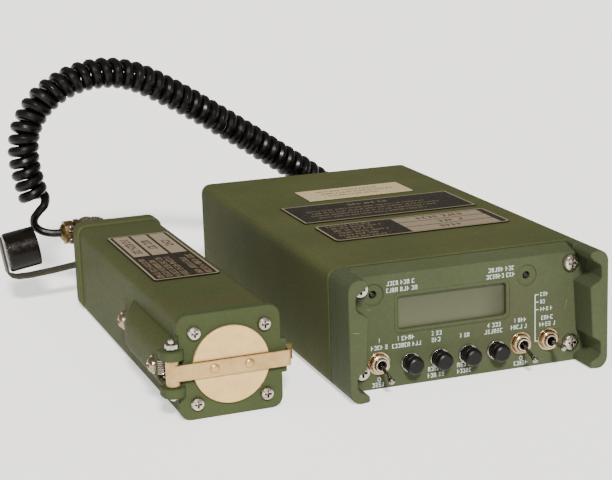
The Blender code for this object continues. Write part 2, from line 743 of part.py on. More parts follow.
def probe_screws(probe):
    for x, z in plate_screw_places():
        side = "left" if x < 0 else "right"
        level = "lower" if z < PROBE_MID_Z else "upper"
        pan_head_screw(
            f"plate_screw_{side}_{level}", 0.0030, 0.0021, 0.0013, 0.010, 16, STEEL, (x, -GAP, z), FACE_FRONT, probe
        )


def probe_label(probe):
    top = PROBE_BODY_Z[1]
    outline = rounded(-0.0149, 0.062, 0.0167, 0.154, 0.0018, 3)
    place(prism("probe_data_plate", outline, top + GAP, top + GAP + 0.0005, LABEL), parent=probe)


# ---------------------------------------------------------------- window shield
def shield(probe):
    hinge = frame("shield_hinge", (HINGE_X, 0, 0), parent=probe)
    front = -BARREL_R
    back = front + STRAP_T
    leg_in = PLATE_S / 2 + LUG_OUT + 0.00035 - HINGE_X
    leg_out = leg_in + STRAP_T
    lip = 0.0034
    barrel_low, barrel_high = BARREL_Z
    barrel = turned(
        "shield_strap",
        [
            (PIN_HOLE_R, barrel_low),
            (BARREL_R, barrel_low),
            (BARREL_R, barrel_high),
            (PIN_HOLE_R, barrel_high),
        ],
        20,
        TAN,
    )
    place(barrel, parent=hinge)
    # Top view of the strap: flat across the window, then back along the catch lug, then flared
    strap_outline = [
        (0.0, front),
        (leg_out - 0.0012, front),
        (leg_out - 0.0004, front + 0.0003),
        (leg_out, front + 0.0011),
        (leg_out, lip),
        (leg_out + 0.0034, lip + 0.0021),
        (leg_out + 0.0028, lip + 0.0028),
        (leg_in, lip + 0.0008),
        (leg_in, back),
        (0.0019, back),
    ]
    strap = prism("strap_flat", strap_outline, *STRAP_Z)
    place(strap, parent=hinge)
    add(barrel, strap)

    disc_back = -GAP
    disc = [(0, 0), (SHIELD_R - 0.0002, 0), (SHIELD_R, 0.0003), (SHIELD_R, SHIELD_T - 0.0003), (SHIELD_R - 0.0002, SHIELD_T), (0, SHIELD_T)]
    place(turned("shield_disc", disc, 40, TAN), (-HINGE_X, disc_back, PROBE_MID_Z), FACE_FRONT, hinge)

    low = EAR_ZS[0][0]
    high = EAR_ZS[1][1]
    pin = [
        (0, low - 0.0020),
        (0.0012, low - 0.0018),
        (0.0022, low - 0.0010),
        (0.0023, low - GAP),
        (PIN_R, low - GAP),
        (PIN_R, high + 0.0042),
        (PIN_R - 0.0004, high + 0.0047),
        (0, high + 0.0047),
    ]
    place(turned("hinge_pin", pin, 16, STEEL), (HINGE_X, 0, 0), parent=probe)
    nut = prism("hinge_nut", polygon(0.0029, 6, pi / 6), high + GAP, high + 0.0027, STEEL, bevel=0.0003)
    place(nut, (HINGE_X, 0, 0), parent=probe)
    nut_hole = cylinders("hinge_nut_hole", [(HINGE_X, 0, 0, PIN_HOLE_R, 0.03, 0.04)], sides=16)
    place(nut_hole, parent=probe)
    cut(nut, nut_hole)
    spring = [(0.0011, 0.0193), (0.0022, 0.0193), (0.0022, 0.0262), (0.0011, 0.0262)]
    place(turned("hinge_spring", spring, 16, STEEL), (-0.0275, 0.0076, 0), parent=probe)


# ---------------------------------------------------------------- probe connector and dust cap
def probe_connector(probe):
    far = PROBE_BODY_END + GAP + END_CAP_T
    x, z = PROBE_PLUG_XZ
    at = (x, far, z)
    receptacle("probe_receptacle", at, FACE_REAR, probe)
    rear = frame("probe_plug_frame", at, FACE_REAR, probe)
    ring = [(0.0085, 0.0025), (0.0097, 0.0025), (0.0101, 0.0030), (0.0101, 0.0108), (0.0097, 0.0114), (0.0085, 0.0114)]
    place(turned("probe_coupling_ring", ring, 24, BRONZE), parent=rear)
    elbow_plug("probe_cord_plug", rear, False)


def dust_cap(probe):
    """The cup on its moulded strap, which pivots on the post below the connector."""
    far = PROBE_BODY_END + GAP + END_CAP_T
    post_x, post_z = CAP_POST_XZ
    middle = far + 0.0115
    half_width = 0.0045
    pivot = frame("cap_pivot", (post_x, middle, post_z), FACE_FRONT, probe)
    radius = 0.0105
    length = 0.0165
    wall = 0.0016
    tilt = radians(9)
    cup = [
        (0, 0),
        (radius - 0.0008, 0),
        (radius, 0.0008),
        (radius, length),
        (radius - wall, length),
        (radius - wall, wall),
        (0, wall),
    ]
    # Closed end to the left, open end towards the probe and a little up
    cup_at = (-0.0430, 0.0098, 0)
    place(turned("dust_cap", cup, 28, BLACK), cup_at, (0, pi / 2, tilt), pivot)

    # Side view of the strap, from the eyelet under the cup and up its closed end
    lower = [(-0.0036, -0.0006), (-0.0180, -0.0024), (-0.0310, -0.0036), (-0.0380, -0.0036), (-0.0414, -0.0025)]
    end = Vector((cos(tilt + pi / 2), sin(tilt + pi / 2)))
    out = Vector((-cos(tilt), -sin(tilt)))
    foot = Vector(cup_at[:2]) - end * radius
    corner = foot + out * (GAP + 0.0013)
    top = Vector(cup_at[:2]) + end * (radius - 0.0006) + out * (GAP + 0.0013)
    thickness = 0.0012
    path = [Vector(p) for p in lower] + [corner, top]
    outline = ribbon(path, thickness)
    strap = prism("cap_strap", outline, -half_width, half_width, RUBBER)
    place(strap, parent=pivot)
    eye = turned("cap_eyelet", [(0.0029, -half_width), (0.0044, -half_width), (0.0044, half_width), (0.0029, half_width)], 20)
    place(eye, parent=pivot)
    add(strap, eye)


def ribbon(path, thickness):
    """The outline of a strip of constant thickness along a flat path."""
    left = []
    right = []
    for i, point in enumerate(path):
        before = path[max(0, i - 1)]
        after = path[min(len(path) - 1, i + 1)]
        along = (after - before).normalized()
        side = Vector((-along.y, along.x)) * thickness / 2
        left.append(tuple(point + side))
        right.append(tuple(point - side))
    return left + right[::-1]


# ---------------------------------------------------------------- cord
def cord():
    cord_tube("coil_cord", COIL_ROUTE, COIL_D / 2, 3, COIL_D * 0.4, RUBBER, trim=GAP)
    cord_tube("probe_cord_tail", TAIL_ROUTE, TAIL_D / 2, 3, TAIL_D * 0.55, RUBBER)


# ---------------------------------------------------------------- build
def main():
    for old in list(bpy.data.objects):
        bpy.data.objects.remove(old, do_unlink=True)
    meter_housing()
    front_panel()
    panel_screws()
    display()
    for name, x in TOGGLES.items():
        toggle(name, x)
    for name, x in BUTTONS.items():
        push_button(name, x)
    meter_insides()
    top_plates()
    meter_connector()

    probe = frame("probe_frame", PROBE_AT, (0, 0, PROBE_YAW))
    probe_housing(probe)
    probe_front_plate(probe)
    probe_end_cap(probe)
    probe_insides(probe)
    probe_screws(probe)
    probe_label(probe)
    shield(probe)
    probe_connector(probe)
    dust_cap(probe)
    cord()


main()
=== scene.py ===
"""Looks for the radiation meter, its probe and the curly cord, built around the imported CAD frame."""

import random
from math import cos, pi, radians, sin

import bmesh
import bpy
from mathutils import Matrix, Vector, noise


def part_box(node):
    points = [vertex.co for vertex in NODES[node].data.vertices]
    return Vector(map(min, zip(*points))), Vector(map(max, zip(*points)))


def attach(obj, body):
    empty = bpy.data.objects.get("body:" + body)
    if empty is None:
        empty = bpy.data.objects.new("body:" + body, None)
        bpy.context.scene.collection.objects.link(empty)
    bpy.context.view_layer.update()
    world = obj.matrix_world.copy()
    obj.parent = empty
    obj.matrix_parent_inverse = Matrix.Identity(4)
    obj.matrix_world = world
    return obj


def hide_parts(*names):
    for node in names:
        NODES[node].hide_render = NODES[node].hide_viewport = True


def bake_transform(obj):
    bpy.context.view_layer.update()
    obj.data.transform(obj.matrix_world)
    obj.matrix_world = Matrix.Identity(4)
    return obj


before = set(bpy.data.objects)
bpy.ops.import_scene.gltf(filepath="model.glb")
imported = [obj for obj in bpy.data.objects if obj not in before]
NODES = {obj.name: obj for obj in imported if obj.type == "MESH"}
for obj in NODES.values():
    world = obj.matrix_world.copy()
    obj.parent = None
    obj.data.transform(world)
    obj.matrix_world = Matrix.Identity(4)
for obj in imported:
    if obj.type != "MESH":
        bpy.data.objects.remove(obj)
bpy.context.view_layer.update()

# Meter pieces are drawn in millimetres in the CAD frame, probe pieces in the probe's own axes:
# x to the right, y from the front plate towards the rear, z up
METER = Matrix.Scale(0.001, 4)
PROBE_YAW = radians(1.3)
PROBE = Matrix.Translation((-0.11169, -0.11553, 0)) @ Matrix.Rotation(PROBE_YAW, 4, "Z") @ METER

FACE_Y = -111.5  # the panel's flat face


# ---------------------------------------------------------------- camera
CAMERA_AT = (-0.2823, -0.7171, 0.2262)
CAMERA_YAW = radians(18.92)
CAMERA_PITCH = radians(13.61)
CAMERA_ROLL = radians(-2.0)
LENS = 91.3


def make_camera():
    yaw, pitch, roll = CAMERA_YAW, CAMERA_PITCH, CAMERA_ROLL
    ahead = Vector((sin(yaw) * cos(pitch), cos(yaw) * cos(pitch), -sin(pitch)))
    level = Vector((cos(yaw), -sin(yaw), 0))
    above = level.cross(ahead)
    right = level * cos(roll) + above * sin(roll)
    up = above * cos(roll) - level * sin(roll)
    data = bpy.data.cameras.new("camera")
    data.lens = LENS
    data.sensor_width = 36
    data.clip_start = 0.05
    data.clip_end = 30
    camera = bpy.data.objects.new("camera", data)
    bpy.context.scene.collection.objects.link(camera)
    turn = Matrix((right, up, -ahead)).transposed().to_4x4()
    camera.matrix_world = Matrix.Translation(CAMERA_AT) @ turn
    bpy.context.scene.camera = camera


# ---------------------------------------------------------------- node materials
BSDF_INPUTS = {
    "color": "Base Color",
    "rough": "Roughness",
    "metal": "Metallic",
    "normal": "Normal",
    "coat": "Coat Weight",
    "coat_rough": "Coat Roughness",
    "specular": "Specular IOR Level",
}


class Shade:
    """A small builder for node materials. Lengths inside patterns are in metres."""

    def __init__(self, name):
        self.mat = bpy.data.materials.new(name)
        self.mat.use_nodes = True
        self.tree = self.mat.node_tree
        self.bsdf = self.tree.nodes["Principled BSDF"]
        self.coord = self.tree.nodes.new("ShaderNodeTexCoord").outputs["Object"]

    def node(self, kind, inputs=(), **props):
        made = self.tree.nodes.new(kind)
        for key, value in props.items():
            setattr(made, key, value)
        for key, value in dict(inputs).items():
            self.feed(made.inputs[key], value)
        return made

    def feed(self, socket, value):
        if isinstance(value, bpy.types.NodeSocket):
            self.tree.links.new(value, socket)
        elif isinstance(value, (tuple, list)) and len(value) == 3 and socket.type == "RGBA":
            socket.default_value = (*value, 1)
        else:
            socket.default_value = value

    def stretched(self, scale):
        made = self.node("ShaderNodeMapping", {"Vector": self.coord})
        made.inputs["Scale"].default_value = scale
        return made.outputs[0]

    def noise(self, size, detail=3, roughness=0.55, vector=None, distortion=0.0):
        inputs = {
            "Vector": vector or self.coord,
            "Scale": 1 / size,
            "Detail": detail,
            "Roughness": roughness,
            "Distortion": distortion,
        }
        return self.node("ShaderNodeTexNoise", inputs).outputs["Fac"]

    def cells(self, size, feature="F1"):
        inputs = {"Vector": self.coord, "Scale": 1 / size}
        return self.node("ShaderNodeTexVoronoi", inputs, feature=feature).outputs["Distance"]

    def band(self, value, low, high, out=(0.0, 1.0)):
        inputs = {"Value": value, "From Min": low, "From Max": high, "To Min": out[0], "To Max": out[1]}
        return self.node("ShaderNodeMapRange", inputs, interpolation_type="SMOOTHSTEP").outputs[0]

    def math(self, operation, a, b=0.0):
        made = self.node("ShaderNodeMath", operation=operation)
        self.feed(made.inputs[0], a)
        self.feed(made.inputs[1], b)
        return made.outputs[0]

    def mix(self, factor, a, b):
        made = self.node("ShaderNodeMix", data_type="RGBA", blend_type="MIX")
        self.feed(made.inputs["Factor"], factor)
        self.feed(made.inputs[6], a)
        self.feed(made.inputs[7], b)
        return made.outputs[2]

    def bump(self, height, distance, strength=1.0, normal=None):
        inputs = {"Height": height, "Distance": distance, "Strength": strength}
        if normal:
            inputs["Normal"] = normal
        return self.node("ShaderNodeBump", inputs).outputs[0]

    def soft_edges(self, radius):
        return self.node("ShaderNodeBevel", {"Radius": radius}, samples=4).outputs[0]

    def creases(self, reach):
        """An occlusion mask used to paint shade: 1 in the open, 0 in slots and recesses."""
        return self.node("ShaderNodeAmbientOcclusion", {"Distance": reach}, samples=8).outputs["AO"]

    def edges(self, radius):
        """1 on convex and concave edges, from how far a rounded normal turns from the true one."""
        soft = self.soft_edges(radius)
        true = self.node("ShaderNodeNewGeometry").outputs["Normal"]
        same = self.node("ShaderNodeVectorMath", operation="DOT_PRODUCT")
        self.feed(same.inputs[0], soft)
        self.feed(same.inputs[1], true)
        return self.band(self.math("SUBTRACT", 1.0, same.outputs["Value"]), 0.02, 0.3)

    def set(self, **values):
        for key, value in values.items():
            self.feed(self.bsdf.inputs[BSDF_INPUTS[key]], value)
        return self.mat


PEEL_DEPTH = 0.00003
BARE_EDGE = (0.17, 0.16, 0.105)
BARE_SPECK = (0.22, 0.20, 0.14)


def paint(name, light, dark, brown, rough, wear, soft=0.0006):
    """Military paint: mottled colour, a fine orange-peel grain, chipped edges and small pale scars.

    soft is the radius that the shading rounds edges with."""
    s = Shade(name)
    clouds = s.band(s.noise(0.045, 4, 0.6), 0.3, 0.7)
    color = s.mix(clouds, dark, light)
    color = s.mix(s.band(s.noise(0.03, 4, 0.6, distortion=0.4), 0.48, 0.75, (0.0, 0.7)), color, brown)
    fine = s.noise(0.0016, 4, 0.7)
    color = s.mix(s.band(fine, 0.25, 0.75, (0.0, 0.3)), color, [c * 0.6 for c in dark])
    ragged = s.noise(0.0035, 5, 0.75)
    edge = s.math("MULTIPLY", s.edges(0.0008), s.band(ragged, 0.58, 0.68))
    color = s.mix(s.math("MULTIPLY", edge, wear), color, BARE_EDGE)
    specks = s.math("MULTIPLY", s.band(s.cells(0.012), 0.07, 0.03), s.band(s.noise(0.03, 2), 0.57, 0.63))
    color = s.mix(s.math("MULTIPLY", specks, wear), color, BARE_SPECK)
    peel = s.noise(0.00045, 3, 0.6)
    height = s.math("ADD", peel, s.math("MULTIPLY", s.noise(0.004, 2), 1.2))
    return s.set(
        color=color,
        rough=s.band(fine, 0.2, 0.8, (rough - 0.07, rough + 0.08)),
        normal=s.bump(height, PEEL_DEPTH, 0.8, normal=s.soft_edges(soft)),
        specular=0.02,
    )


GRAIN_DEPTH = 0.00002


def metal(name, color, dull, rough, pits=0.0):
    """Plated or bare metal with uneven dulling, pits, and painted shade in its recesses."""
    s = Shade(name)
    lines = s.noise(0.0006, 3, 0.6)
    patch = s.band(s.noise(0.006, 4, 0.65), 0.35, 0.7)
    tone = s.mix(patch, color, dull)
    tone = s.mix(s.band(lines, 0.3, 0.7, (0.0, 0.25)), tone, [c * 0.5 for c in dull])
    if pits:
        tone = s.mix(s.band(s.cells(0.0019), 0.16, 0.05, (0.0, pits)), tone, [c * 0.25 for c in dull])
    # Painted shade: recesses such as the screws' cross slots darken almost to black.
    tone = s.mix(s.band(s.creases(0.0011), 0.72, 0.35), tone, [c * 0.06 for c in dull])
    return s.set(
        color=tone,
        rough=s.band(s.noise(0.003, 3), 0.3, 0.7, (rough - 0.06, rough + 0.12)),
        metal=1.0,
        normal=s.bump(lines, GRAIN_DEPTH, 0.5, normal=s.soft_edges(0.00035)),
    )


def shield_metal(name, color, dull, rough, metallic):
    """Bare tan alloy, half matt: fine level scratches, soft darker clouds, and painted shadow lines in its
    creases.
    """
    s = Shade(name)
    lines = s.noise(0.0007, 3, 0.6, vector=s.stretched((0.12, 4, 4)))
    tone = s.mix(s.band(s.noise(0.009, 4, 0.65), 0.35, 0.7, (0.0, 0.8)), color, dull)
    tone = s.mix(s.band(lines, 0.35, 0.7, (0.0, 0.3)), tone, [c * 0.7 for c in dull])
    tone = s.mix(s.band(s.cells(0.0042), 0.08, 0.03, (0.0, 0.5)), tone, [c * 0.45 for c in dull])
    # Painted shadow: dark lines where the strap meets the disc and round the rivets.
    tone = s.mix(s.band(s.creases(0.0014), 0.86, 0.5), tone, [c * 0.12 for c in dull])
    return s.set(
        color=tone,
        rough=s.band(s.noise(0.003, 3), 0.3, 0.7, (rough - 0.06, rough + 0.12)),
        metal=metallic,
        normal=s.bump(lines, GRAIN_DEPTH, 0.5, normal=s.soft_edges(0.0006)),
        specular=0.2,
    )


def plastic(name, color, dust, rough, dusting=0.2, coat=0.0, specular=0.3, soft=0.0005):
    """Moulded plastic or rubber with smears of dust."""
    s = Shade(name)
    smear = s.band(s.noise(0.007, 5, 0.65, distortion=0.5), 0.45, 0.8, (0.0, dusting))
    tone = s.mix(smear, color, dust)
    tone = s.mix(s.band(s.noise(0.0008, 3), 0.3, 0.75, (0.0, 0.3)), tone, [c * 0.6 for c in color])
    return s.set(
        color=tone,
        rough=s.band(s.noise(0.0022, 4), 0.25, 0.75, (rough - 0.08, rough + 0.1)),
        normal=s.bump(s.noise(0.0007, 3), GRAIN_DEPTH, 0.6, normal=s.soft_edges(soft)),
        coat=coat,
        specular=specular,
    )


def printed(name, color, worn, rough, metallic=0.0, fade=0.5):
    """Ink, foil or paper: patchy, with tiny breaks where it has rubbed away."""
    s = Shade(name)
    tone = s.mix(s.band(s.noise(0.0028, 5, 0.7), 0.42, 0.72, (0.0, fade)), color, worn)
    tone = s.mix(s.band(s.noise(0.0005, 3), 0.35, 0.8, (0.0, 0.35)), tone, [c * 0.6 for c in worn])
    return s.set(
        color=tone,
        rough=s.band(s.noise(0.002, 3), 0.3, 0.7, (rough - 0.08, rough + 0.1)),
        metal=metallic,
        normal=s.bump(s.noise(0.0009, 3), 0.00001, 0.6),
        specular=0.12,
    )


def board(name):
    """A circuit board with paler tracks."""
    s = Shade(name)
    tracks = s.band(s.cells(0.004, "F2"), 0.5, 0.55)
    return s.set(
        color=s.mix(tracks, (0.015, 0.10, 0.03), (0.03, 0.17, 0.06)),
        rough=0.4,
        normal=s.bump(tracks, 0.00003),
    )


def display_glass():
    """A clear window over a reflective display: grey-green, with painted shade from its frame, a little
    darker towards its top and darker again towards its right end.
    """
    s = Shade("display_window")
    place = s.node("ShaderNodeSeparateXYZ", {"Vector": s.coord})
    height = s.band(place.outputs["Z"], 0.0255, 0.0415)  # bottom to top of the window
    side = s.band(place.outputs["X"], 0.0195, 0.006)  # from its right end inwards
    # Painted shade: the window darkens upwards and towards its right end, where its frame shades it.
    tone = s.mix(height, (0.066, 0.071, 0.040), (0.052, 0.057, 0.031))
    tone = s.mix(side, (0.038, 0.040, 0.022), tone)
    tone = s.mix(s.band(s.noise(0.004, 4), 0.4, 0.8, (0.0, 0.2)), tone, (0.074, 0.076, 0.044))
    return s.set(
        color=tone,
        rough=0.42,
        coat=0.08,
        coat_rough=0.2,
        specular=0.2,
        normal=s.bump(s.noise(0.003, 3), GRAIN_DEPTH, 0.5),
    )


MAT = {
    "meter": paint(
        "meter_paint", (0.069, 0.075, 0.0305), (0.056, 0.064, 0.0265), (0.072, 0.064, 0.0285), 0.6, 0.3,
        soft=0.0014,
    ),
    "panel": paint(
        "panel_paint", (0.057, 0.0675, 0.0355), (0.049, 0.060, 0.0305), (0.057, 0.0585, 0.0320), 0.5, 0.4
    ),
    "probe": paint(
        "probe_paint", (0.060, 0.066, 0.0280), (0.052, 0.060, 0.0250), (0.062, 0.056, 0.0250), 0.55, 0.25,
        soft=0.0018,
    ),
    "plate": paint(
        "plate_paint", (0.051, 0.064, 0.0285), (0.044, 0.057, 0.0250), (0.051, 0.055, 0.0255), 0.5, 0.3
    ),
    "steel": metal("plated_steel", (0.62, 0.56, 0.49), (0.36, 0.30, 0.24), 0.22, pits=0.25),
    "dull_steel": metal("stained_steel", (0.42, 0.33, 0.23), (0.20, 0.14, 0.08), 0.26, pits=0.4),
    "chrome": metal("bright_plating", (0.72, 0.68, 0.63), (0.46, 0.42, 0.36), 0.15),
    "lever": metal("lever_plating", (0.36, 0.33, 0.29), (0.18, 0.155, 0.12), 0.16),
    "gold": metal("gold_plating", (0.60, 0.45, 0.27), (0.33, 0.23, 0.12), 0.22),
    "bronze": metal("olive_bronze", (0.24, 0.165, 0.065), (0.095, 0.065, 0.025), 0.36, pits=0.3),
    "shield": shield_metal("shield_metal", (0.69, 0.46, 0.190), (0.58, 0.375, 0.150), 0.42, 0.35),
    "strap_metal": shield_metal("strap_metal", (0.58, 0.385, 0.165), (0.40, 0.255, 0.105), 0.30, 0.75),
    "black": plastic("black_plastic", (0.0026, 0.0021, 0.0014), (0.011, 0.0085, 0.005), 0.40, specular=0.22),
    "cap": plastic(
        "cap_plastic", (0.0036, 0.0024, 0.0014), (0.009, 0.0062, 0.0036), 0.24, 0.1,
        coat=0.06, specular=0.14, soft=0.0022,
    ),
    "rubber": plastic("gasket_rubber", (0.006, 0.006, 0.004), (0.02, 0.018, 0.011), 0.6),
    "strap": plastic("olive_rubber", (0.022, 0.020, 0.009), (0.045, 0.040, 0.022), 0.5, 0.5),
    "cord": plastic(
        "cord_jacket", (0.0020, 0.0015, 0.0010), (0.006, 0.004, 0.0022), 0.30, 0.3, specular=0.20
    ),
    "ink": printed("white_ink", (0.42, 0.47, 0.46), (0.26, 0.30, 0.28), 0.5, fade=0.5),
    "scar": printed("bare_primer", (0.20, 0.19, 0.125), (0.11, 0.11, 0.065), 0.6),
    "foil_black": printed("black_foil", (0.0105, 0.0078, 0.0024), (0.017, 0.0125, 0.0048), 0.5, fade=0.3),
    "foil": printed("bare_foil", (0.290, 0.228, 0.148), (0.220, 0.170, 0.105), 0.42, 0.35),
    "foil_text": printed("foil_lines", (0.200, 0.150, 0.088), (0.110, 0.082, 0.044), 0.5, 0.2),
    "paper": printed("faded_sticker", (0.440, 0.350, 0.205), (0.370, 0.290, 0.165), 0.65),
    "probe_foil": printed("bright_foil", (0.330, 0.260, 0.170), (0.255, 0.198, 0.122), 0.42, 0.35),
    "stamped": printed("stamped_marks", (0.022, 0.015, 0.006), (0.045, 0.033, 0.016), 0.55),
    "lamp": plastic("lamp_lens", (0.006, 0.0035, 0.002), (0.012, 0.008, 0.005), 0.32, coat=0.1),
    "mouth": plastic("switch_mouth", (0.018, 0.009, 0.005), (0.03, 0.016, 0.009), 0.4),
    "board": board("circuit_board"),
    "window": display_glass(),
}

CAD_LOOKS = {
    "meter": ("meter_case", "rear_cover"),
    "panel": ("front_panel",),
    "probe": ("probe_case", "probe_end_cap"),
    "plate": ("probe_front_plate",),
    "steel": (
        "panel_screw_left_lower", "panel_screw_left_upper",
        "panel_screw_right_lower", "panel_screw_right_upper",
        "plate_screw_left_lower", "plate_screw_left_upper",
        "plate_screw_right_lower", "plate_screw_right_upper",
        "hinge_pin", "hinge_nut", "hinge_spring", "detector_window", "detector_tube",
    ),
    "lever": ("on_off_lever", "light_lever", "alarm_lever"),
    "chrome": (
        "on_off_switch", "light_switch", "alarm_switch",
        "test_button_switch", "rate_button_switch", "dose_button_switch", "store_button_switch",
    ),
    "gold": ("on_off_nut", "light_nut", "alarm_nut"),
    "bronze": (
        "meter_receptacle", "meter_cord_plug", "probe_receptacle", "probe_coupling_ring", "probe_cord_plug",
    ),
    "shield": ("shield_disc",),
    "strap_metal": ("shield_strap",),
    "black": ("test_button", "rate_button", "dose_button", "store_button", "battery_pack", "sounder"),
    "cap": ("dust_cap",),
    "strap": ("cap_strap",),
    "rubber": ("panel_gasket",),
    "foil_black": ("top_plate_middle", "top_plate_front", "probe_data_plate"),
    "paper": ("top_label_rear",),
    "lamp": ("dose_alarm_lamp", "rate_alarm_lamp"),
    "board": ("lcd_module", "main_board", "probe_board"),
    "window": ("lcd_window",),
}


def dress_cad_nodes():
    for look, names in CAD_LOOKS.items():
        for name in names:
            mesh = NODES[name].data
            mesh.materials.clear()
            mesh.materials.append(MAT[look])


# ---------------------------------------------------------------- mesh helpers
def piece(name, bm, look, body, base=METER, smooth=35):
    """Bake a bmesh drawn in millimetres into a piece that rides on a body."""
    bmesh.ops.transform(bm, matrix=base, verts=bm.verts)
    bmesh.ops.recalc_face_normals(bm, faces=bm.faces)
    mesh = bpy.data.meshes.new(name)
    bm.to_mesh(mesh)
    bm.free()
    mesh.materials.append(MAT[look])
    if smooth:
        mesh.shade_smooth()
        mesh.set_sharp_from_angle(angle=radians(smooth))
    obj = bpy.data.objects.new(name, mesh)
    bpy.context.scene.collection.objects.link(obj)
    if body:
        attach(obj, body)
    return obj


def at(x, y, z, turn=None):
    """A place in millimetres; turn is an Euler in degrees."""
    made = Matrix.Translation((x, y, z))
    if turn:
        for axis, angle in zip("ZYX", reversed(turn)):
            made = made @ Matrix.Rotation(radians(angle), 4, axis)
    return made


FRONT = (90, 0, 0)  # local +Z points out of the front, towards -Y
REAR = (90, 0, 180)  # local +Z points to the rear, towards +Y
LEFT = (0, -90, 0)  # local +Z points to -X


def lathe(bm, profile, sides, where):
    """Turn (radius, height) points about Z; ends on the axis close the solid."""
    rings = []
    for radius, height in profile:
        count = 1 if radius == 0 else sides
        ring = []
        for k in range(count):
            a = 2 * pi * k / sides
            ring.append(bm.verts.new(where @ Vector((radius * cos(a), radius * sin(a), height))))
        rings.append(ring)
    pairs = list(zip(rings, rings[1:]))
    if profile[0][0] and profile[-1][0]:
        pairs.append((rings[-1], rings[0]))
    for low, high in pairs:
        for k in range(sides):
            n = (k + 1) % sides
            corners = [low[k % len(low)], low[n % len(low)], high[n % len(high)], high[k % len(high)]]
            bm.faces.new(list(dict.fromkeys(corners)))


def slab(bm, outline, low, high, where):
    """Grow a flat outline from z = low to z = high."""
    bottom = [bm.verts.new(where @ Vector((x, y, low))) for x, y in outline]
    top = [bm.verts.new(where @ Vector((x, y, high))) for x, y in outline]
    bm.faces.new(bottom[::-1])
    bm.faces.new(top)
    for i in range(len(outline)):
        j = (i + 1) % len(outline)
        bm.faces.new((bottom[i], bottom[j], top[j], top[i]))


def hoop(bm, outlines, where):
    """A closed frame: each (outline, height) is joined to the next, and the last to the first."""
    rings = [[bm.verts.new(where @ Vector((x, y, z))) for x, y in outline] for outline, z in outlines]
    for a, b in zip(rings, rings[1:] + rings[:1]):
        for i in range(len(a)):
            j = (i + 1) % len(a)
            bm.faces.new((a[i], a[j], b[j], b[i]))


def arc(cx, cy, radius, start, end, steps):
    turns = [radians(start + (end - start) * k / steps) for k in range(steps + 1)]
    return [(cx + radius * cos(a), cy + radius * sin(a)) for a in turns]


def rounded(left, bottom, right, top, r, steps=4):
    points = arc(left + r, bottom + r, r, 180, 270, steps)
    points += arc(right - r, bottom + r, r, 270, 360, steps)
    points += arc(right - r, top - r, r, 0, 90, steps)
    return points + arc(left + r, top - r, r, 90, 180, steps)


def rect(left, bottom, right, top):
    return [(left, bottom), (right, bottom), (right, top), (left, top)]


def tube(bm, path, radius, sides):
    """Sweep a circle along points with frames that don't twist; radius is a number or one per point."""
    radii = radius if isinstance(radius, (list, tuple)) else [radius] * len(path)
    tangents = []
    for i in range(len(path)):
        step = path[min(i + 1, len(path) - 1)] - path[max(i - 1, 0)]
        tangents.append(step.normalized())
    normal = tangents[0].orthogonal().normalized()
    rings = []
    for point, tangent, r in zip(path, tangents, radii):
        normal = (normal - tangent * normal.dot(tangent)).normalized()
        side = tangent.cross(normal)
        ring = []
        for k in range(sides):
            a = 2 * pi * k / sides
            ring.append(bm.verts.new(point + (normal * cos(a) + side * sin(a)) * r))
        rings.append(ring)
    for low, high in zip(rings, rings[1:]):
        for k in range(sides):
            n = (k + 1) % sides
            bm.faces.new((low[k], low[n], high[n], high[k]))
    bm.faces.new(rings[0][::-1])
    bm.faces.new(rings[-1])


def smooth_curve(route, per_span):
    """Catmull-Rom points through a route."""
    knots = [Vector(p) for p in route]
    knots = [2 * knots[0] - knots[1]] + knots + [2 * knots[-1] - knots[-2]]
    points = []
    for a, b, c, d in zip(knots, knots[1:], knots[2:], knots[3:]):
        for k in range(per_span):
            t = k / per_span
            square, cube = 2 * a - 5 * b + 4 * c - d, 3 * b - a - 3 * c + d
            points.append(0.5 * (2 * b + (c - a) * t + square * t**2 + cube * t**3))
    return points + [knots[-2]]


def evenly(points, count):
    """The same line as `count` + 1 points an equal distance apart."""
    lengths = [0.0]
    for p, q in zip(points, points[1:]):
        lengths.append(lengths[-1] + (q - p).length)
    out = []
    i = 0
    for k in range(count + 1):
        want = lengths[-1] * k / count
        while i < len(points) - 2 and lengths[i + 1] < want:
            i += 1
        span = lengths[i + 1] - lengths[i]
        out.append(points[i].lerp(points[i + 1], (want - lengths[i]) / span if span else 0))
    return out


# ---------------------------------------------------------------- the curly cord
COIL_ROUTE = (
    (24.9, 126.0, 37.4),
    (16.9, 125.9, 43.4),
    (4.0, 124.0, 53.2),
    (-33.9, 120.0, 79.8),
    (-71.4, 116.8, 104.4),
    (-98.0, 114.5, 117.8),
    (-122.2, 112.6, 118.8),
    (-143.3, 111.0, 109.4),
    (-154.8, 110.2, 94.5),
    (-157.5, 110.0, 77.6),
    (-154.8, 110.1, 60.6),
    (-153.2, 110.2, 54.5),
)
TAIL_ROUTE = (
    (-148.9, 106.2, 52.0),
    (-152.2, 105.8, 48.6),
    (-154.8, 107.2, 44.7),
    (-154.6, 108.2, 40.5),
    (-151.4, 107.6, 37.3),
    (-146.2, 106.0, 35.8),
    (-140.2, 105.4, 35.5),
)
ROUTE_STEPS = 24  # points between two of the route's points, before they are spaced evenly
TURNS = 42
PER_TURN = 24
CORD_SIDES = 10
WIRE_R = 2.8
TAIL_R = 2.2
COIL_R = 5.7
UNEVEN = 0.2  # how far the coil's radius wanders
LEAD = 1.4  # turns over which the wire leaves the plug's axis
PLUG_POINTS = 16  # points over which the wire thickens from the plug
JOIN_STEP = 3  # the coil's last points that the tail's curve starts from are this far apart
JOIN_SPAN = 6  # points between two points of the tail's curve
TAPER_AFTER = 10  # points from the start of the tail's curve to where the wire thins
TAPER_POINTS = 20


